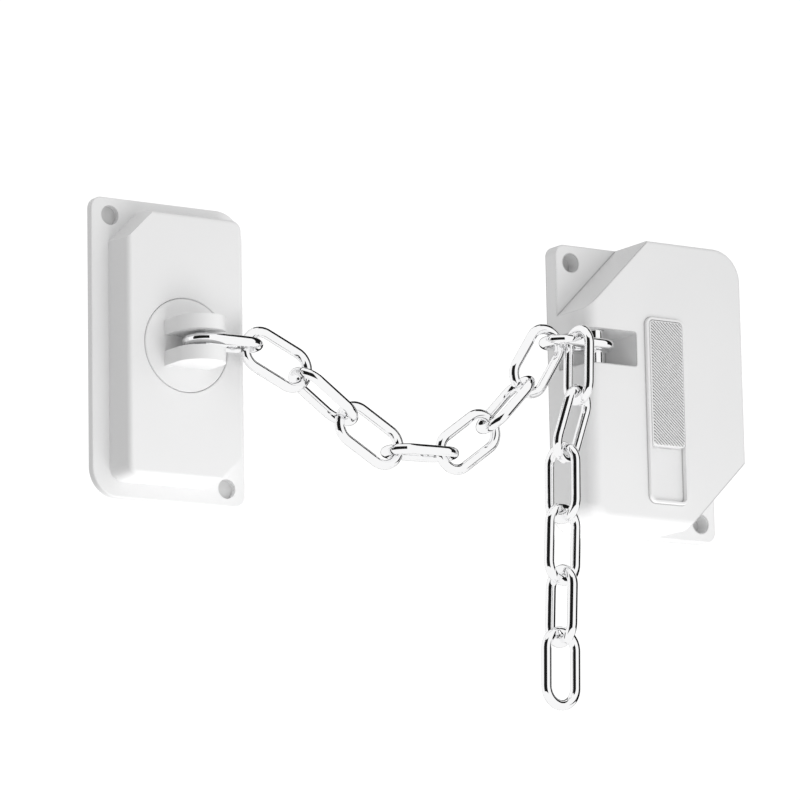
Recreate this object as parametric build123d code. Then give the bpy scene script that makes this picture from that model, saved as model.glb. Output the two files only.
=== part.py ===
from build123d import *
import os
from math import cos, radians, sin

# Window chain lock: an anchor unit with a swivel, a chain, and a latch unit whose slide frees the chain.
# Millimetres. The wall is the plane y = 0, the units stand out of it towards -Y, and +Z is up.
# The origin is the middle of the latch unit's mounting face.

# Chain
wire = 2.75
link_length = 22.9
link_width = 12.75
link_gap = 0.25
open_pivot_gap = 0.55
hanging_gaps = [0.25, 0.46, 0.5, 0.25, 0.25, 0.25]

# Tilt of links 1 to 9, in degrees, upwards to the right, and the skew of their plane to the wall
span_tilts = [0, -24, -35, -30, 1, 36, 46, 57, 0]
span_skew = 0.5

# Links 10 to 15: lean to the left, lean towards the wall, and turn about the vertical, in degrees
hanging_tilts = [(3, -1, 90), (17, 4, 24), (2, -1, 101), (3, 0, 10), (2.5, 0.5, 92), (1.5, 0, 4)]
hook_offset = 2.75

# Fits
running_gap = 0.15
seat_gap = 0.05
wide_gap = 0.3

# Latch unit
latch_width = 52.9
latch_height = 81.4
latch_depth = 20.5
tab_thickness = 5.0
corner_cut = 20.9
latch_top_radius = 9.0
latch_foot_radius = 6.0
tab_radius = 3.0
tab_edge_radius = 0.4
foot_edge_radius = 3.2
top_edge_radius = 1.0
latch_wall = 2.2
hole_radius = 2.65
hole_inset = 5.1

# Notch for the last hooked link, and the pin across it
notch_width = 15.9
notch_depth = 14.9
notch_bottom = 4.25
notch_height = 9.65
notch_wall = 1.8
notch_edge_radius = 0.6
pin_radius = 2.25
pin_inset = 4.2
pin_setback = 3.5
pin_engagement = 4.5
pin_link_height = 5.1
pin_lead_in = 0.5
socket_wall = 1.6

# Slide
travel = 15.2
slot_offset = -1.18
slot_width = 11.5
slot_top = 17.85
button_length = 35.85
recess_depth = 0.6
recess_floor = 1.8
slot_corner_radius = 1.4
rim_width = 0.75
rim_height = 1.2
rim_edge_radius = 0.3
button_proud = 1.45
button_edge_radius = 0.4
stem_width = 4.0
stem_height = 5.0
carriage_width = 10.0
carriage_height = 22.0
carriage_thickness = 2.5
arm_thickness = 5.0
arm_height = 5.0
arm_drop = 21.2
tenon_radius = 1.2

# Return spring
spring_wire = 0.8
spring_radius = 2.3
spring_turns = 7
spring_offset = -12.6

# Back plate of the latch unit and its screws
plate_thickness = 2.0
plate_lip = 1.0
boss_radius = 2.8
screw_radius = 1.0
screw_head_radius = 2.4
screw_head_height = 1.4
screw_length = 9.0
boss_places = [(14.0, 27.0), (14.0, -14.0), (-19.2, -31.6)]

# Anchor unit
anchor_width = 46.5
anchor_height = 80.5
flange_shift_x = -0.3
flange_shift_z = -0.3
flange_thickness = 2.1
flange_large_radius = 7.9
flange_small_radius = 3.2
flange_edge_radius = 0.4
flange_hole_inset_x = 5.7
flange_hole_inset_z = 4.8
block_width = 36.9
block_height = 72.9
block_cut = 8.5
block_radius = 3.8
block_draft = 6.0
cavity_draft = 3.0
block_edge_radius = 1.3
anchor_wall = 2.4

# Swivel
disc_radius = 12.7
disc_thickness = 1.2
disc_bevel = 0.25
hub_radius = 9.0
lug_width = 13.5
lug_thickness = 3.9
lug_gap = 4.4
disc_gap = 0.6
swivel_pin_radius = 1.5
swivel_pin_cover = 1.3
washer_radius = 11.0
washer_thickness = 1.0

# Derived places
wire_radius = wire / 2
bow_reach = (link_length - wire) / 2
leg_offset = (link_width - wire) / 2
link_seat = link_length / 2 - wire - wire_radius - link_gap
swivel_seat = link_length / 2 - wire - swivel_pin_radius - link_gap
latch_seat = link_length / 2 - wire - pin_radius - link_gap
front = -latch_depth
left = -latch_width / 2
notch_top = notch_bottom + notch_height
pin_place = Vector(left + pin_inset, front + pin_setback, notch_bottom + pin_link_height)
slot_bottom = slot_top - button_length - travel
slot_length = slot_top - slot_bottom
stem_top = slot_top - travel - running_gap
arm_top = slot_top - arm_drop - wide_gap
arm_bottom = arm_top - arm_height
carriage_front = front + recess_depth + recess_floor + running_gap
from_end = (Align.CENTER, Align.CENTER, Align.MIN)


def wall_sketch(sketch, depth):
    """A sketch in wall coordinates (x, z), at a depth in front of the wall."""
    return Plane.XZ.offset(depth) * sketch


def block(sketch, back, front_depth, taper=0):
    """A sketch in wall coordinates, extruded from one depth to another."""
    return extrude(wall_sketch(sketch, back), front_depth - back, taper=taper)


def round_corners(sketch, places, radius):
    """Fillets the corners of a flat sketch that lie nearest to the given places."""
    for place in places:
        corner = sketch.vertices().sort_by_distance((place[0], place[1], 0))[0]
        sketch = fillet(corner, radius)
    return sketch


def cut_corners(sketch, places, leg):
    """Cuts the corners of a flat sketch that lie nearest to the given places at 45 degrees."""
    for place in places:
        corner = sketch.vertices().sort_by_distance((place[0], place[1], 0))[0]
        sketch = chamfer(corner, leg)
    return sketch


def soft_front_edges(body):
    """Edges of a body's front face, without those along its 45 degree cuts, which stay sharp."""
    edges = body.faces().sort_by(Axis.Y)[0].edges()
    slanted = [edge for edge in edges if edge.geom_type == GeomType.LINE
               and abs((edge % 0).X) > 0.1 and abs((edge % 0).Z) > 0.1]
    return [edge for edge in edges if edge not in slanted]


def corners(width, height):
    """Corner places of a centred rectangle: top left, top right, bottom right, bottom left."""
    half_width, half_height = width / 2, height / 2
    return [(-half_width, half_height), (half_width, half_height),
            (half_width, -half_height), (-half_width, -half_height)]


def upright(radius, place, bottom, top):
    """An upright cylinder at (x, y) between two heights."""
    return Pos(place.X, place.Y, bottom) * Cylinder(radius, top - bottom, align=from_end)


def outward(radius, x, z, back, front_depth, front_radius=None):
    """A round boss, hole or cone square to the wall, between two depths."""
    length = front_depth - back
    if front_radius is None:
        body = Cylinder(radius, length, align=from_end)
    else:
        body = Cone(radius, front_radius, length, align=from_end)
    return Plane((x, -back, z), x_dir=(1, 0, 0), z_dir=(0, -1, 0)) * body


def box(x0, x1, y0, y1, z0, z1):
    """A box between two corners."""
    return Pos((x0 + x1) / 2, (y0 + y1) / 2, (z0 + z1) / 2) * Box(x1 - x0, y1 - y0, z1 - z0)


# Chain

def chain_link(centre, along, across):
    """An oval ring of round wire, its long axis along one direction and its width along another."""
    route = SlotCenterToCenter(link_length - link_width, link_width - wire).wire()
    start = route @ 0
    section = Plane(start, z_dir=route % 0) * Circle(wire_radius)
    ring = sweep(section, path=route)
    return Plane(centre, x_dir=along, z_dir=along.cross(across)) * ring


def span_links():
    """Centres and directions of links 1 to 9, followed back from the latch pin, and the swivel's pin."""
    depth = Vector(0, 1, 0).rotate(Axis.Z, span_skew)
    point = pin_place
    links = []
    last = len(span_tilts)
    for number in range(last, 0, -1):
        tilt = radians(span_tilts[number - 1])
        along = Vector(cos(tilt), 0, sin(tilt)).rotate(Axis.Z, span_skew)
        in_wall_plane = number % 2 == 0
        half = link_seat if in_wall_plane else bow_reach
        ahead = latch_seat if number == last else half
        behind = swivel_seat if number == 1 else half
        centre = point - along * ahead
        if number == last:
            behind -= open_pivot_gap - link_gap
        across = depth.cross(along) * -1 if in_wall_plane else depth
        links.insert(0, (centre, along, across))
        point = centre - along * behind
    return links, point


def hanging_places(hook):
    """Centres and directions of links 10 to 15, followed down from the wire that the first hangs on."""
    point = hook
    links = []
    for (lean_left, lean_back, turn), gap in zip(hanging_tilts, hanging_gaps):
        sideways, backwards = sin(radians(lean_left)), sin(radians(lean_back))
        along = Vector(-sideways, backwards, -(1 - sideways ** 2 - backwards ** 2) ** 0.5)
        width = Vector(cos(radians(turn)), sin(radians(turn)), 0)
        across = (width - along * width.dot(along)).normalized()
        centre = point + along * (link_seat + link_gap - gap)
        links.append((centre, along, across))
        point = centre + along * bow_reach
    return links


span, swivel_place = span_links()
last_centre = span[-1][0]
hook_place = last_centre + Vector(-hook_offset, -leg_offset, 0)
hanging = hanging_places(hook_place)
anchor_x, anchor_z = swivel_place.X, swivel_place.Z
block_depth = -swivel_place.Y - link_width / 2 - disc_gap


# Latch unit

latch_corners = corners(latch_width, latch_height)
top_left, top_right, bottom_right, bottom_left = latch_corners
latch_holes = [(left + hole_inset, latch_height / 2 - hole_inset),
               (-left - hole_inset, -latch_height / 2 + hole_inset)]


def latch_outline():
    """Outline of the latch unit's tall block, without its two screw tabs."""
    outline = Rectangle(latch_width, latch_height)
    outline = cut_corners(outline, [top_left, bottom_right], corner_cut)
    outline = round_corners(outline, [top_right], latch_top_radius)
    return round_corners(outline, [bottom_left], latch_foot_radius)


def slot_sketch(grow):
    """Outline of the slide's slot, grown on all sides."""
    height = slot_length + 2 * grow
    sketch = RectangleRounded(slot_width + 2 * grow, height, slot_corner_radius + grow)
    return Pos(slot_offset, (slot_top + slot_bottom) / 2) * sketch


def latch_housing():
    base = Rectangle(latch_width, latch_height)
    base = round_corners(base, [top_left, bottom_right], tab_radius)
    base = round_corners(base, [top_right], latch_top_radius)
    base = round_corners(base, [bottom_left], latch_foot_radius)
    tall = block(latch_outline(), 0, latch_depth)
    tall = fillet([edge for edge in soft_front_edges(tall) if edge.center().X < 0], foot_edge_radius)
    tall = fillet([edge for edge in soft_front_edges(tall) if edge.center().X > 0], top_edge_radius)
    tabs = block(base, 0, tab_thickness)
    tabs = fillet(tabs.faces().sort_by(Axis.Y)[0].edges(), tab_edge_radius)
    body = tabs + tall

    inside = offset(latch_outline(), -latch_wall, kind=Kind.INTERSECTION)
    cavity = block(inside, 0, latch_depth - latch_wall)
    plate_seat = offset(latch_outline(), -latch_wall + plate_lip, kind=Kind.INTERSECTION)
    cavity += block(plate_seat, 0, plate_thickness)
    notch_right = left + notch_width
    notch_back = front + notch_depth
    pocket = box(left, notch_right + notch_wall, front, notch_back + notch_wall,
                 notch_bottom - notch_wall, notch_top + notch_wall)
    cavity -= pocket
    cavity -= block(slot_sketch(notch_wall), 0, latch_depth) & block(
        Rectangle(latch_width, latch_height), latch_depth - recess_depth - recess_floor, latch_depth)
    socket_top = notch_top + pin_engagement + socket_wall + running_gap
    cavity -= upright(pin_radius + running_gap + socket_wall, pin_place, notch_top, socket_top)
    for x, z in boss_places:
        cavity -= outward(boss_radius, x, z, plate_thickness, latch_depth)
    body -= cavity

    notch = box(left, notch_right, front, notch_back, notch_bottom, notch_top)
    notch = fillet(notch.edges().filter_by(Axis.Y).sort_by(Axis.X)[-2:], notch_edge_radius)
    body -= notch
    groove_bottom = arm_bottom - travel - wide_gap
    socket_end = notch_top + pin_engagement + running_gap
    body -= upright(pin_radius + wide_gap, pin_place, groove_bottom, notch_bottom - notch_wall)
    body -= upright(pin_radius + running_gap, pin_place, notch_bottom - notch_wall, socket_end)

    rim = block(slot_sketch(rim_width), latch_depth, latch_depth + rim_height)
    body += fillet(rim.faces().sort_by(Axis.Y)[0].edges(), rim_edge_radius)
    body -= block(slot_sketch(0), latch_depth - recess_depth, latch_depth + rim_height)
    stem_slot = Pos(slot_offset, stem_top - (stem_height + travel) / 2) * Rectangle(
        stem_width + 2 * running_gap, stem_height + travel + 2 * running_gap)
    body -= block(stem_slot, 0, latch_depth)
    for x, z in boss_places:
        body -= outward(screw_radius + seat_gap, x, z, plate_thickness, screw_length + wide_gap)
    for x, z in latch_holes:
        body -= outward(hole_radius, x, z, 0, tab_thickness)
    return body


def latch_back_plate():
    outline = offset(latch_outline(), -latch_wall + plate_lip - running_gap, kind=Kind.INTERSECTION)
    plate = block(outline, 0, plate_thickness)
    for x, z in boss_places:
        plate -= outward(screw_radius + running_gap, x, z, 0, plate_thickness)
        plate -= outward(screw_head_radius + running_gap, x, z, 0, screw_head_height,
                         screw_radius + running_gap)
    return plate


def latch_back_screws():
    screws = []
    for x, z in boss_places:
        head = outward(screw_head_radius, x, z, seat_gap, screw_head_height, screw_radius)
        screws.append(head + outward(screw_radius, x, z, screw_head_height, screw_length))
    return screws


def slide_button():
    width = slot_width - 2 * running_gap
    height = button_length - running_gap
    middle = slot_top - running_gap - height / 2
    face_sketch = RectangleRounded(width, height, slot_corner_radius - running_gap)
    face_sketch = Pos(slot_offset, middle) * face_sketch
    body = block(face_sketch, latch_depth - recess_depth + running_gap, latch_depth + button_proud)
    body = fillet(body.faces().sort_by(Axis.Y)[0].edges(), button_edge_radius)
    stem = Pos(slot_offset, stem_top - stem_height / 2) * Rectangle(stem_width, stem_height)
    body += block(stem, -carriage_front, latch_depth - recess_depth + running_gap)
    screw_tip = -carriage_front + screw_length - carriage_thickness
    body -= outward(screw_radius + seat_gap, slot_offset, stem_top - stem_height / 2, -carriage_front,
                    min(screw_tip, latch_depth - recess_depth))
    return body


def slide_carriage():
    back = carriage_front + carriage_thickness
    stem_middle = stem_top - stem_height / 2
    top = stem_top + stem_height
    half = carriage_width / 2
    body = box(slot_offset - half, slot_offset + half, carriage_front, back, top - carriage_height, top)
    arm_back = carriage_front + arm_thickness
    body += box(pin_place.X, slot_offset + half, carriage_front, arm_back, arm_bottom, arm_top)
    body += upright(pin_radius, pin_place, arm_bottom, arm_top)
    body -= upright(tenon_radius + seat_gap, pin_place, arm_bottom, arm_top)
    body -= outward(screw_radius + running_gap, slot_offset, stem_middle, -back, -carriage_front)
    return body


def carriage_screw():
    stem_middle = stem_top - stem_height / 2
    head_front = -carriage_front - carriage_thickness
    head = outward(screw_head_radius, slot_offset, stem_middle, head_front - screw_head_height, head_front)
    tip = min(head_front + screw_length, latch_depth - recess_depth)
    return head + outward(screw_radius, slot_offset, stem_middle, head_front, tip)


def latch_pin():
    top = notch_top + pin_engagement
    pin = upright(pin_radius, pin_place, arm_top, top)
    pin = chamfer(pin.faces().sort_by(Axis.Z)[-1].edges(), pin_lead_in)
    return pin + upright(tenon_radius, pin_place, arm_bottom, arm_top)


def latch_spring():
    foot = -latch_height / 2 + latch_wall
    length = arm_bottom - foot - spring_wire - 2 * seat_gap
    coil = Helix(pitch=length / spring_turns, height=length, radius=spring_radius)
    section = Plane(coil @ 0, z_dir=coil % 0) * Circle(spring_wire / 2)
    spring = sweep(section, path=coil)
    middle = carriage_front + arm_thickness / 2
    return Pos(spring_offset, middle, foot + spring_wire / 2 + seat_gap) * spring


# Anchor unit

flange_x, flange_z = anchor_x + flange_shift_x, anchor_z + flange_shift_z


def block_outline(shrink):
    """Outline of the anchor unit's raised block at its foot, shrunk on all sides."""
    top_left, top_right, bottom_right, bottom_left = corners(block_width, block_height)
    outline = cut_corners(Rectangle(block_width, block_height), [top_left, bottom_right], block_cut)
    outline = round_corners(outline, [top_right, bottom_left], block_radius)
    if shrink:
        outline = offset(outline, -shrink, kind=Kind.INTERSECTION)
    return Pos(anchor_x, anchor_z) * outline


def anchor_housing():
    top_left, top_right, bottom_right, bottom_left = corners(anchor_width, anchor_height)
    outline = Rectangle(anchor_width, anchor_height)
    outline = round_corners(outline, [top_right, bottom_left], flange_large_radius)
    outline = round_corners(outline, [top_left, bottom_right], flange_small_radius)
    raised = block(block_outline(0), flange_thickness, block_depth, block_draft)
    raised = fillet(soft_front_edges(raised), block_edge_radius)
    flange = block(Pos(flange_x, flange_z) * outline, 0, flange_thickness)
    flange = fillet(flange.faces().sort_by(Axis.Y)[0].edges(), flange_edge_radius)
    body = flange + raised
    body -= block(block_outline(anchor_wall), 0, block_depth - anchor_wall, cavity_draft)
    body -= outward(disc_radius, anchor_x, anchor_z, block_depth - disc_thickness, block_depth)
    body -= outward(disc_radius, anchor_x, anchor_z, block_depth - disc_bevel, block_depth,
                    disc_radius + disc_bevel)
    body -= outward(hub_radius, anchor_x, anchor_z, 0, block_depth)
    half_width = anchor_width / 2 - flange_hole_inset_x
    half_height = anchor_height / 2 - flange_hole_inset_z
    for side in (-1, 1):
        x, z = flange_x + side * half_width, flange_z - side * half_height
        body -= outward(hole_radius, x, z, 0, flange_thickness)
    return body


def swivel():
    back = block_depth - anchor_wall - running_gap
    seat = block_depth - disc_thickness + seat_gap
    rim_radius = disc_radius - running_gap
    shoulder = block_depth - disc_bevel
    body = outward(rim_radius, anchor_x, anchor_z, seat, shoulder)
    body += outward(rim_radius, anchor_x, anchor_z, shoulder, block_depth, rim_radius - disc_bevel)
    body += outward(hub_radius - running_gap, anchor_x, anchor_z, back, seat)
    pin_depth = -swivel_place.Y
    tongue = Pos(anchor_x, -pin_depth) * Circle(lug_width / 2)
    tongue += Pos(anchor_x, -(pin_depth + seat) / 2) * Rectangle(lug_width, pin_depth - seat)
    inner = lug_gap / 2
    for side in (-1, 1):
        low = anchor_z + min(side * inner, side * (inner + lug_thickness))
        lug = Pos(0, 0, low) * extrude(tongue, lug_thickness)
        body += lug
    reach = lug_gap / 2 + lug_thickness
    bottom = anchor_z - reach + swivel_pin_cover
    body -= upright(swivel_pin_radius + seat_gap, swivel_place, bottom, anchor_z + reach)
    body -= outward(screw_radius + seat_gap, anchor_x, anchor_z, back, block_depth - seat_gap)
    return body


def swivel_pin():
    reach = lug_gap / 2 + lug_thickness
    bottom = anchor_z - reach + swivel_pin_cover + seat_gap
    return upright(swivel_pin_radius, swivel_place, bottom, anchor_z + reach)


def swivel_washer():
    front_depth = block_depth - anchor_wall - running_gap
    washer = outward(washer_radius, anchor_x, anchor_z, front_depth - washer_thickness, front_depth)
    return washer - outward(screw_radius + running_gap, anchor_x, anchor_z, 0, front_depth)


def swivel_screw():
    head_front = block_depth - anchor_wall - running_gap - washer_thickness
    head = outward(screw_head_radius, anchor_x, anchor_z, head_front - screw_head_height, head_front)
    return head + outward(screw_radius, anchor_x, anchor_z, head_front, block_depth - disc_thickness)


pieces = {
    "latch_housing": latch_housing(),
    "latch_back_plate": latch_back_plate(),
    "latch_back_screws": latch_back_screws(),
    "slide_button": slide_button(),
    "slide_carriage": slide_carriage(),
    "carriage_screw": carriage_screw(),
    "latch_pin": latch_pin(),
    "latch_spring": latch_spring(),
    "anchor_housing": anchor_housing(),
    "swivel": swivel(),
    "swivel_pin": swivel_pin(),
    "swivel_washer": swivel_washer(),
    "swivel_screw": swivel_screw(),
}
for number, place in enumerate(span + hanging, start=1):
    pieces[f"link_{number:02d}"] = chain_link(*place)

os.makedirs("parts", exist_ok=True)
for name, piece in pieces.items():
    shapes = piece if isinstance(piece, list) else [piece]
    solids = [solid for shape in shapes for solid in shape.solids()]
    export_step(Compound(children=solids), f"parts/{name}.step")
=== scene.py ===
import math

import bmesh
import bpy
from mathutils import Matrix, Vector


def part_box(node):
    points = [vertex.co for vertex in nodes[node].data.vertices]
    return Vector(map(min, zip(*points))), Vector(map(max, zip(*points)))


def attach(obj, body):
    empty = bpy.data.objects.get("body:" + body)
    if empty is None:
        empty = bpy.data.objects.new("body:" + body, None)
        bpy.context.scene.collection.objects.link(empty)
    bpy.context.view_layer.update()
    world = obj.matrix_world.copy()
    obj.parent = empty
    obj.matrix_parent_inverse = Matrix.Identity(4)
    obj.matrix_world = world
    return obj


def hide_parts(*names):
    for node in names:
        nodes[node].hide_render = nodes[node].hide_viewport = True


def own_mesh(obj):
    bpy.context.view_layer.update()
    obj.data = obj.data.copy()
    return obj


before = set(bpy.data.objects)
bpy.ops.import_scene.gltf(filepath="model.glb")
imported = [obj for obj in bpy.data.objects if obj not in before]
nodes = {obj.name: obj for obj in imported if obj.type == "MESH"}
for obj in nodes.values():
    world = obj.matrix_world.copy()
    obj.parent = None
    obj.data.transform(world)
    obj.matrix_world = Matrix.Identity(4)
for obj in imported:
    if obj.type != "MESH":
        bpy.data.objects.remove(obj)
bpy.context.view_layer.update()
links = sorted(name for name in nodes if name.startswith("link_"))

# Ribs on the slide button, in metres and degrees
RIB_PITCH = 0.00069
RIB_DEPTH = 0.0003
RIB_SLOPE = 40.3
RIB_INSET = 0.0004
RIB_SEAT = 0.0002
RIB_CORNER = 0.0009
RIB_CORNER_STEPS = 6

# Profile of a rib, in shares of the pitch: width of a flank, end of the top, start of the groove,
# whose floor carries painted shade
RIB_FLANK = 0.12
RIB_TOP_END = 0.52
RIB_FOOT = 0.64

# How near a cut a point counts as on it, and how far past a point its height is read, in metres
CUT_TOLERANCE = 1e-8
READ_AHEAD = 1e-9

# Painted shade: a fine grey line along the latch's sharp edges and darkening in its inner corners: its
# reach in metres, and its fade
EDGE_LINE = 0.0005
EDGE_SAMPLES = 8
EDGE_CLEAR = 0.95
EDGE_FULL = 0.55

# Plane just in front of the latch's front face: the rim round the slide, beyond it, gets no painted
# edge shade
LINE_LIMIT = -0.0207

# Noise: the part of its range that is spread over a range of roughness, and its usual and finer detail
NOISE_LOW = 0.3
NOISE_HIGH = 0.7
USUAL_DETAIL = 3.0
FINE_DETAIL = 2.0

# Plastic: cells per metre of its flow marks and grain, and the grain's strength and height in metres
FLOW_SCALE = 45.0
GRAIN_SCALE = 3200.0
GRAIN_STRENGTH = 0.12
GRAIN_HEIGHT = 0.00003
PLASTIC_IOR = 1.49

# Metal: strength of its waviness
WAVE_STRENGTH = 0.1

# Steps round a link's wire, round each bow and along each leg, and rounds to find its directions
WIRE_STEPS = 40
BOW_STEPS = 40
LEG_STEPS = 4
FIT_ROUNDS = 40

# Film behind the screw holes, and the places of the holes in the corners of the units, in metres
FILM_RADIUS = 0.0027
FILM_THICKNESS = 0.0003
FILM_STEPS = 48
HOLE_INSETS = {"latch_housing": (0.0051, 0.0051), "anchor_housing": (0.0057, 0.0048)}

# Camera: where it stands, its turn about the vertical, its tilt upwards and its roll
EYE = Vector((-0.77635, -1.0754, -0.2519))
YAW = 33.07
PITCH = 10.78
ROLL = 1.06

# Camera: lens and sensor in millimetres, nearest and furthest depth in metres
LENS = 214.56
SENSOR_WIDTH = 36.0
CLIP_NEAR = 0.05
CLIP_FAR = 20.0

# Floor, in metres, and the cells per metre of its speckle
FLOOR_HEIGHT = -0.45
FLOOR_SIZE = 4.0
FLOOR_SPECKLE = 12.0

# World: light on matt faces with its slope along X, Y and Z, light in mirrors, light of the background
LIGHT_LEVEL = 0.8
LIGHT_SLOPE = (0.28, 0.02, 0.05)
MIRRORED_LEVEL = 0.98
BACKGROUND_LEVEL = 1.08

# Soft boxes: place and width in metres, power in watts, all aimed at the middle
MIDDLE = (-0.08, 0.0, -0.01)
SOFT_BOXES = {
    "key": ((-0.12, -0.33, -0.2), 0.25, 0.45),
    "low": ((-0.055, -0.012, -0.2), 0.1, 0.22),
}

# Dark cards: distance in metres, steps each way, cells per metre of their weave
CARD_DISTANCE = 1.6
CARD_STEPS = 16
CARD_WEAVE = 40.0

# Dark cards: start and end anticlockwise from +X, lowest and highest elevation, in degrees
DARK_CARDS = {
    "left_card": (176.0, 250.0, -20.0, 40.0),
    "right_card": (-40.0, 78.0, -15.0, 74.0),
}


# Materials

def material(name):
    """A material with its node tree, shader and a texture coordinate in the piece's own space."""
    made = bpy.data.materials.new(name)
    made.use_nodes = True
    tree = made.node_tree
    shader = tree.nodes["Principled BSDF"]
    place = tree.nodes.new("ShaderNodeTexCoord")
    return made, tree, shader, place.outputs["Object"]


def noise(tree, place, scale, detail=USUAL_DETAIL):
    """A noise texture in the piece's own space, with its scale in cells per metre."""
    node = tree.nodes.new("ShaderNodeTexNoise")
    node.inputs["Scale"].default_value = scale
    node.inputs["Detail"].default_value = detail
    tree.links.new(place, node.inputs["Vector"])
    return node.outputs["Fac"]


def spread(tree, value, low, high):
    """Maps a noise value to a range."""
    node = tree.nodes.new("ShaderNodeMapRange")
    node.inputs["From Min"].default_value = NOISE_LOW
    node.inputs["From Max"].default_value = NOISE_HIGH
    node.inputs["To Min"].default_value = low
    node.inputs["To Max"].default_value = high
    tree.links.new(value, node.inputs["Value"])
    return node.outputs["Result"]


def tint(tree, value, first, second):
    """Blends two colours by a noise value."""
    node = tree.nodes.new("ShaderNodeMix")
    node.data_type = "RGBA"
    node.inputs["A"].default_value = (*first, 1)
    node.inputs["B"].default_value = (*second, 1)
    tree.links.new(value, node.inputs["Factor"])
    return node.outputs["Result"]


def bump(tree, shader, value, strength, distance):
    """Adds relief from a noise value."""
    node = tree.nodes.new("ShaderNodeBump")
    node.inputs["Strength"].default_value = strength
    node.inputs["Distance"].default_value = distance
    tree.links.new(value, node.inputs["Height"])
    tree.links.new(node.outputs["Normal"], shader.inputs["Normal"])


def painted_edge_shade(tree, colour, place, tone, inside):
    """Paints shade into a colour: a darker line along sharp outer edges where inside is set, or else
    darkening in inner corners.
    """
    edge = tree.nodes.new("ShaderNodeAmbientOcclusion")
    edge.inside = inside
    edge.only_local = True
    edge.samples = EDGE_SAMPLES
    edge.inputs["Distance"].default_value = EDGE_LINE
    line = tree.nodes.new("ShaderNodeMapRange")
    line.inputs["From Min"].default_value = EDGE_CLEAR
    line.inputs["From Max"].default_value = EDGE_FULL
    tree.links.new(edge.outputs["AO"], line.inputs["Value"])
    parts = tree.nodes.new("ShaderNodeSeparateXYZ")
    tree.links.new(place, parts.inputs["Vector"])
    behind = tree.nodes.new("ShaderNodeMath")
    behind.operation = "GREATER_THAN"
    behind.inputs[1].default_value = LINE_LIMIT
    tree.links.new(parts.outputs["Y"], behind.inputs[0])
    share = tree.nodes.new("ShaderNodeMath")
    share.operation = "MULTIPLY"
    tree.links.new(line.outputs["Result"], share.inputs[0])
    tree.links.new(behind.outputs["Value"], share.inputs[1])
    node = tree.nodes.new("ShaderNodeMix")
    node.data_type = "RGBA"
    tree.links.new(share.outputs["Value"], node.inputs["Factor"])
    tree.links.new(colour, node.inputs["A"])
    node.inputs["B"].default_value = (*tone, 1)
    return node.outputs["Result"]


def plastic(name, light, dark, rough_low, rough_high, painted_shade_tone=None):
    """Moulded plastic: a fine satin grain, with faint flow marks in its colour and gloss, and painted
    shade along edges and in inner corners when a shade tone is given.
    """
    made, tree, shader, place = material(name)
    flow = noise(tree, place, FLOW_SCALE)
    grain = noise(tree, place, GRAIN_SCALE, FINE_DETAIL)
    colour = tint(tree, flow, dark, light)
    # Painted shade: grey lines along sharp outer edges, and darkening in inner corners
    if painted_shade_tone:
        colour = painted_edge_shade(tree, colour, place, painted_shade_tone, True)
        colour = painted_edge_shade(tree, colour, place, painted_shade_tone, False)
    tree.links.new(colour, shader.inputs["Base Color"])
    tree.links.new(spread(tree, flow, rough_low, rough_high), shader.inputs["Roughness"])
    shader.inputs["IOR"].default_value = PLASTIC_IOR
    bump(tree, shader, grain, GRAIN_STRENGTH, GRAIN_HEIGHT)
    return made


def metal(name, light, dark, rough_low, rough_high, grain_scale, relief):
    """Bright or plated metal: fine drawing marks in its gloss and a slight waviness."""
    made, tree, shader, place = material(name)
    wave = noise(tree, place, grain_scale, FINE_DETAIL)
    tree.links.new(tint(tree, wave, dark, light), shader.inputs["Base Color"])
    tree.links.new(spread(tree, wave, rough_low, rough_high), shader.inputs["Roughness"])
    shader.inputs["Metallic"].default_value = 1.0
    bump(tree, shader, wave, WAVE_STRENGTH, relief)
    return made


white = plastic("white_satin_plastic", (0.83, 0.83, 0.83), (0.8, 0.8, 0.803), 0.38, 0.48)
# Latch housing plastic with painted shade along its sharp edges and in its inner corners
edge_shaded_white = plastic("white_housing_plastic_painted_edge_shade", (0.83, 0.83, 0.83), (0.8, 0.8, 0.803), 0.38, 0.48,
                      painted_shade_tone=(0.45, 0.45, 0.45))
inner_white = plastic("white_matt_plastic", (0.78, 0.78, 0.78), (0.74, 0.74, 0.74), 0.5, 0.6)
# Near-black painted shade for the floors of the grooves between the slide ribs
groove = plastic("rib_grooves_painted_shade", (0.06, 0.06, 0.06), (0.04, 0.04, 0.04), 0.6, 0.7)
film = plastic("grey_hole_backing_film", (0.6, 0.6, 0.6), (0.56, 0.56, 0.56), 0.6, 0.7)
chrome = metal("bright_chrome", (0.96, 0.96, 0.965), (0.94, 0.94, 0.945), 0.0, 0.015,
               grain_scale=260.0, relief=0.000001)
steel = metal("zinc_plated_steel", (0.66, 0.67, 0.68), (0.56, 0.57, 0.59), 0.28, 0.42,
              grain_scale=900.0, relief=0.00001)


def paint(thing, made):
    """Gives a piece one material."""
    thing.data.materials.clear()
    thing.data.materials.append(made)


finishes = {
    "latch_housing": edge_shaded_white,
    "anchor_housing": white,
    "swivel": white,
    "slide_button": white,
    "latch_back_plate": inner_white,
    "slide_carriage": inner_white,
    "latch_pin": chrome,
    "latch_back_screws": steel,
    "carriage_screw": steel,
    "latch_spring": steel,
    "swivel_pin": steel,
    "swivel_washer": steel,
    "swivel_screw": steel,
}
for name, made in finishes.items():
    paint(nodes[name], made)


# Pieces

def add_mesh(name, mesh_maker):
    """Makes a mesh object from a bmesh and puts it in the scene."""
    mesh = bpy.data.meshes.new(name)
    mesh_maker.to_mesh(mesh)
    mesh_maker.free()
    thing = bpy.data.objects.new(name, mesh)
    bpy.context.scene.collection.objects.link(thing)
    return thing


def add_piece(name, mesh_maker, body, made):
    """Makes a piece from a bmesh, keeps its faces' material numbers, and sets it on its body."""
    piece = add_mesh(name, mesh_maker)
    piece.data.materials.append(made)
    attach(piece, body)
    return piece


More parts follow.
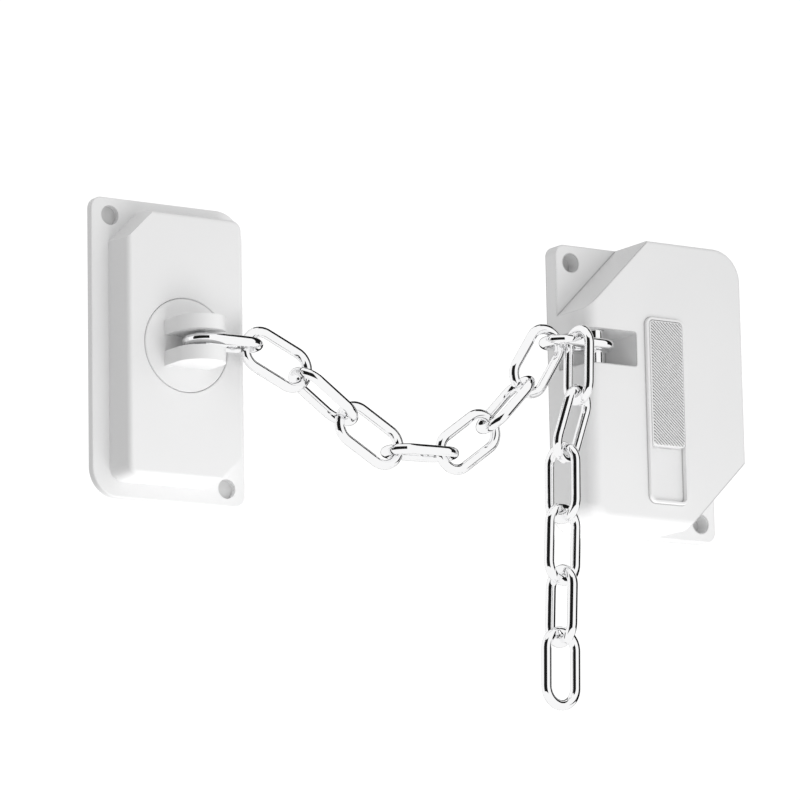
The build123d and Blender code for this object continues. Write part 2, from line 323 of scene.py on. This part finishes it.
def widest(arms, guess, square_to=None):
    """Direction in which points lie furthest apart, from a first guess, square to another if given."""
    direction = guess
    for _ in range(FIT_ROUNDS):
        pull = Vector((0, 0, 0))
        for arm in arms:
            pull += arm * arm.dot(direction)
        if square_to is not None:
            pull -= square_to * pull.dot(square_to)
        direction = pull.normalized()
    return direction


def link_frame(node):
    """Centre, directions and half sizes of a link, read from its solid: length, width and wire."""
    points = [vertex.co.copy() for vertex in node.data.vertices]
    low = Vector(min(p[k] for p in points) for k in range(3))
    high = Vector(max(p[k] for p in points) for k in range(3))
    centre = (low + high) / 2
    arms = [p - centre for p in points]
    along = widest(arms, max(arms, key=lambda arm: arm.length).normalized())
    sideways = widest(arms, along.orthogonal().normalized(), along)
    normal = along.cross(sideways)
    halves = [max(abs(arm.dot(axis)) for arm in arms) for axis in (along, sideways, normal)]
    return centre, along, sideways, normal, halves


def chain_link(node):
    """A smooth ring of round wire in the place of a link's solid."""
    centre, along, sideways, normal, (half_length, half_width, radius) = link_frame(node)
    bow = half_width - radius
    straight = half_length - half_width
    route = []
    for turn, side in ((0, 1), (math.pi, -1)):
        for step in range(BOW_STEPS + 1):
            angle = turn - math.pi / 2 + math.pi * step / BOW_STEPS
            route.append((side * straight + bow * math.cos(angle), bow * math.sin(angle), angle))
        for step in range(1, LEG_STEPS):
            share = step / LEG_STEPS
            route.append((side * straight * (1 - 2 * share), side * bow, turn + math.pi / 2))
    ring = bmesh.new()
    loops = []
    for forward, across, angle in route:
        spine = centre + along * forward + sideways * across
        outward = along * math.cos(angle) + sideways * math.sin(angle)
        loop = []
        for step in range(WIRE_STEPS):
            around = 2 * math.pi * step / WIRE_STEPS
            spoke = outward * math.cos(around) + normal * math.sin(around)
            loop.append(ring.verts.new(spine + spoke * radius))
        loops.append(loop)
    for first, second in zip(loops, loops[1:] + loops[:1]):
        for step in range(WIRE_STEPS):
            after = (step + 1) % WIRE_STEPS
            ring.faces.new((first[step], second[step], second[after], first[after]))
    for face in ring.faces:
        face.smooth = True
    bmesh.ops.recalc_face_normals(ring, faces=ring.faces)
    return ring


for name in links:
    piece = add_piece(f"{name}_wire", chain_link(nodes[name]), name, chrome)
    paint(nodes[name], chrome)
    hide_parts(name)


def rib_share(offset):
    """Place within a rib's pitch, from 0 to 1, at a distance across the ribs."""
    return (offset / RIB_PITCH) % 1.0


def rib_height(offset):
    """Height of the ribs' profile at a distance across them, as a share of their depth."""
    share = rib_share(offset)
    if share < RIB_FLANK:
        return share / RIB_FLANK
    if share < RIB_TOP_END:
        return 1.0
    if share < RIB_FOOT:
        return (RIB_FOOT - share) / RIB_FLANK
    return 0.0


def rib_outline(low, high):
    """Outline of the ribbed field within the button's box, with rounded corners, as X and Z."""
    left = low.x + RIB_INSET + RIB_CORNER
    right = high.x - RIB_INSET - RIB_CORNER
    bottom = low.z + RIB_INSET + RIB_CORNER
    top = high.z - RIB_INSET - RIB_CORNER
    outline = []
    for x, z, start in ((right, top, 0), (left, top, 90), (left, bottom, 180), (right, bottom, 270)):
        for step in range(RIB_CORNER_STEPS + 1):
            angle = math.radians(start + 90 * step / RIB_CORNER_STEPS)
            outline.append((x + RIB_CORNER * math.cos(angle), z + RIB_CORNER * math.sin(angle)))
    return outline


def slide_ribs():
    """Slanting grip ribs on the front of the slide button, cut from a sheet with rounded corners, with
    painted shade on the groove floors.
    """
    low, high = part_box("slide_button")
    face = low.y
    outline = rib_outline(low, high)
    sheet = bmesh.new()
    sheet.faces.new([sheet.verts.new((x, face, z)) for x, z in outline])
    slope = math.radians(RIB_SLOPE)
    across = Vector((math.sin(slope), 0, math.cos(slope)))
    reaches = [Vector((x, 0, z)).dot(across) for x, z in outline]
    first = math.floor(min(reaches) / RIB_PITCH)
    last = math.ceil(max(reaches) / RIB_PITCH)
    for count in range(first, last + 1):
        for share in (0.0, RIB_FLANK, RIB_TOP_END, RIB_FOOT):
            place = across * ((count + share) * RIB_PITCH)
            everything = sheet.verts[:] + sheet.edges[:] + sheet.faces[:]
            bmesh.ops.bisect_plane(sheet, geom=everything, dist=CUT_TOLERANCE,
                                   plane_co=place, plane_no=across)
    for vertex in sheet.verts:
        flat = Vector((vertex.co.x, 0, vertex.co.z))
        vertex.co.y = face - RIB_DEPTH * rib_height(flat.dot(across) + READ_AHEAD)
    rim = [edge for edge in sheet.edges if edge.is_boundary]
    skirt = bmesh.ops.extrude_edge_only(sheet, edges=rim)
    for item in skirt["geom"]:
        if isinstance(item, bmesh.types.BMVert):
            item.co.y = face + RIB_SEAT
    bmesh.ops.recalc_face_normals(sheet, faces=sheet.faces)
    # Faces on the groove floors take the second material, the near-black painted shade
    for panel in sheet.faces:
        middle = panel.calc_center_median()
        if rib_share(Vector((middle.x, 0, middle.z)).dot(across)) > RIB_FOOT:
            panel.material_index = 1
    return sheet


ribs = add_piece("slide_ribs", slide_ribs(), "slider", white)
# Second material: painted shade in the rib grooves
ribs.data.materials.append(groove)


def return_spring():
    """The return spring, on its seat in the latch, as a smooth-shaded copy of its solid."""
    coil = bmesh.new()
    coil.from_mesh(nodes["latch_spring"].data)
    for face in coil.faces:
        face.smooth = True
    piece = add_piece("latch_spring_coil", coil, "units", steel)
    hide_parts("latch_spring")
    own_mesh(piece)


return_spring()


def hole_films():
    """Thin grey disc behind each of the four screw holes, just in front of the wall."""
    sheet = bmesh.new()
    upright = Matrix.Rotation(math.pi / 2, 4, "X")
    for name, (inset_x, inset_z) in HOLE_INSETS.items():
        low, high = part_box(name)
        for x, z in ((low.x + inset_x, high.z - inset_z), (high.x - inset_x, low.z + inset_z)):
            place = Matrix.Translation((x, -FILM_THICKNESS / 2, z)) @ upright
            bmesh.ops.create_cone(sheet, cap_ends=True, segments=FILM_STEPS, radius1=FILM_RADIUS,
                                  radius2=FILM_RADIUS, depth=FILM_THICKNESS, matrix=place)
    return sheet


add_piece("screw_hole_films", hole_films(), "units", film)


# Studio

def floor():
    """A pale floor below the hanging strand, which sheds no light on the object."""
    sheet = bmesh.new()
    level = Matrix.Translation((0, 0, FLOOR_HEIGHT))
    bmesh.ops.create_grid(sheet, x_segments=2, y_segments=2, size=FLOOR_SIZE, matrix=level)
    thing = add_mesh("floor", sheet)
    made, tree, shader, place = material("pale_floor")
    speckle = noise(tree, place, FLOOR_SPECKLE)
    colour = tint(tree, speckle, (0.86, 0.86, 0.86), (0.9, 0.9, 0.9))
    tree.links.new(colour, shader.inputs["Base Color"])
    shader.inputs["Roughness"].default_value = 0.8
    paint(thing, made)
    thing.visible_diffuse = False
    thing.visible_glossy = False


def dark_card(name, start, end, low, high):
    """A dark card, part of a sphere round the origin, seen only in reflections."""
    sheet = bmesh.new()
    rows = []
    for count in range(CARD_STEPS + 1):
        up = math.radians(low + (high - low) * count / CARD_STEPS)
        reach = CARD_DISTANCE * math.cos(up)
        row = []
        for step in range(CARD_STEPS + 1):
            angle = math.radians(start + (end - start) * step / CARD_STEPS)
            spot = (reach * math.cos(angle), reach * math.sin(angle), CARD_DISTANCE * math.sin(up))
            row.append(sheet.verts.new(spot))
        rows.append(row)
    for first, second in zip(rows, rows[1:]):
        for step in range(CARD_STEPS):
            sheet.faces.new((first[step], first[step + 1], second[step + 1], second[step]))
    thing = add_mesh(name, sheet)
    made, tree, shader, place = material(name)
    weave = noise(tree, place, CARD_WEAVE)
    colour = tint(tree, weave, (0.002, 0.002, 0.002), (0.004, 0.004, 0.004))
    tree.links.new(colour, shader.inputs["Base Color"])
    shader.inputs["Roughness"].default_value = 1.0
    paint(thing, made)
    thing.visible_camera = False
    thing.visible_diffuse = False
    thing.visible_shadow = False


def soft_box(name, place, size, power):
    """A round soft box aimed at the middle of the object, not seen itself."""
    data = bpy.data.lights.new(name, "AREA")
    data.shape = "DISK"
    data.size = size
    data.energy = power
    thing = bpy.data.objects.new(name, data)
    bpy.context.scene.collection.objects.link(thing)
    aim = Vector(MIDDLE) - Vector(place)
    turn = aim.to_track_quat("-Z", "Y").to_matrix().to_4x4()
    thing.matrix_world = Matrix.Translation(place) @ turn
    thing.visible_camera = False
    thing.visible_glossy = False


def studio_light():
    """A soft white room, a little brighter from the right, plain in the background and in mirrors."""
    world = bpy.data.worlds.new("studio")
    bpy.context.scene.world = world
    world.use_nodes = True
    tree = world.node_tree
    back = tree.nodes["Background"]
    place = tree.nodes.new("ShaderNodeTexCoord")
    slope = tree.nodes.new("ShaderNodeVectorMath")
    slope.operation = "DOT_PRODUCT"
    slope.inputs[1].default_value = LIGHT_SLOPE
    tree.links.new(place.outputs["Generated"], slope.inputs[0])
    level = tree.nodes.new("ShaderNodeMath")
    level.operation = "ADD"
    level.inputs[1].default_value = LIGHT_LEVEL
    tree.links.new(slope.outputs["Value"], level.inputs[0])
    path = tree.nodes.new("ShaderNodeLightPath")
    mirrored = tree.nodes.new("ShaderNodeMix")
    mirrored.inputs["B"].default_value = MIRRORED_LEVEL
    tree.links.new(path.outputs["Is Glossy Ray"], mirrored.inputs["Factor"])
    tree.links.new(level.outputs["Value"], mirrored.inputs["A"])
    seen = tree.nodes.new("ShaderNodeMix")
    seen.inputs["B"].default_value = BACKGROUND_LEVEL
    tree.links.new(path.outputs["Is Camera Ray"], seen.inputs["Factor"])
    tree.links.new(mirrored.outputs["Result"], seen.inputs["A"])
    tree.links.new(seen.outputs["Result"], back.inputs["Strength"])
    back.inputs["Color"].default_value = (1, 1, 1, 1)


def view_axes():
    """Directions to the right, up and ahead in the photograph's view."""
    yaw, pitch, roll = (math.radians(angle) for angle in (YAW, PITCH, ROLL))
    reach = math.cos(pitch)
    ahead = Vector((math.sin(yaw) * reach, math.cos(yaw) * reach, math.sin(pitch)))
    level = Vector((math.cos(yaw), -math.sin(yaw), 0))
    down = ahead.cross(level)
    right = level * math.cos(roll) + down * math.sin(roll)
    up = level * math.sin(roll) - down * math.cos(roll)
    return right, up, ahead


def camera():
    """The camera at the photograph's angle: below the units, to their left, looking up."""
    right, up, ahead = view_axes()
    data = bpy.data.cameras.new("camera")
    data.lens = LENS
    data.sensor_width = SENSOR_WIDTH
    data.clip_start = CLIP_NEAR
    data.clip_end = CLIP_FAR
    thing = bpy.data.objects.new("camera", data)
    bpy.context.scene.collection.objects.link(thing)
    turn = Matrix((right, up, -ahead)).transposed().to_4x4()
    thing.matrix_world = Matrix.Translation(EYE) @ turn
    bpy.context.scene.camera = thing


floor()
for name, angles in DARK_CARDS.items():
    dark_card(name, *angles)
for name, (place, size, power) in SOFT_BOXES.items():
    soft_box(name, place, size, power)
studio_light()
camera()
bpy.context.scene.view_settings.view_transform = "Standard"
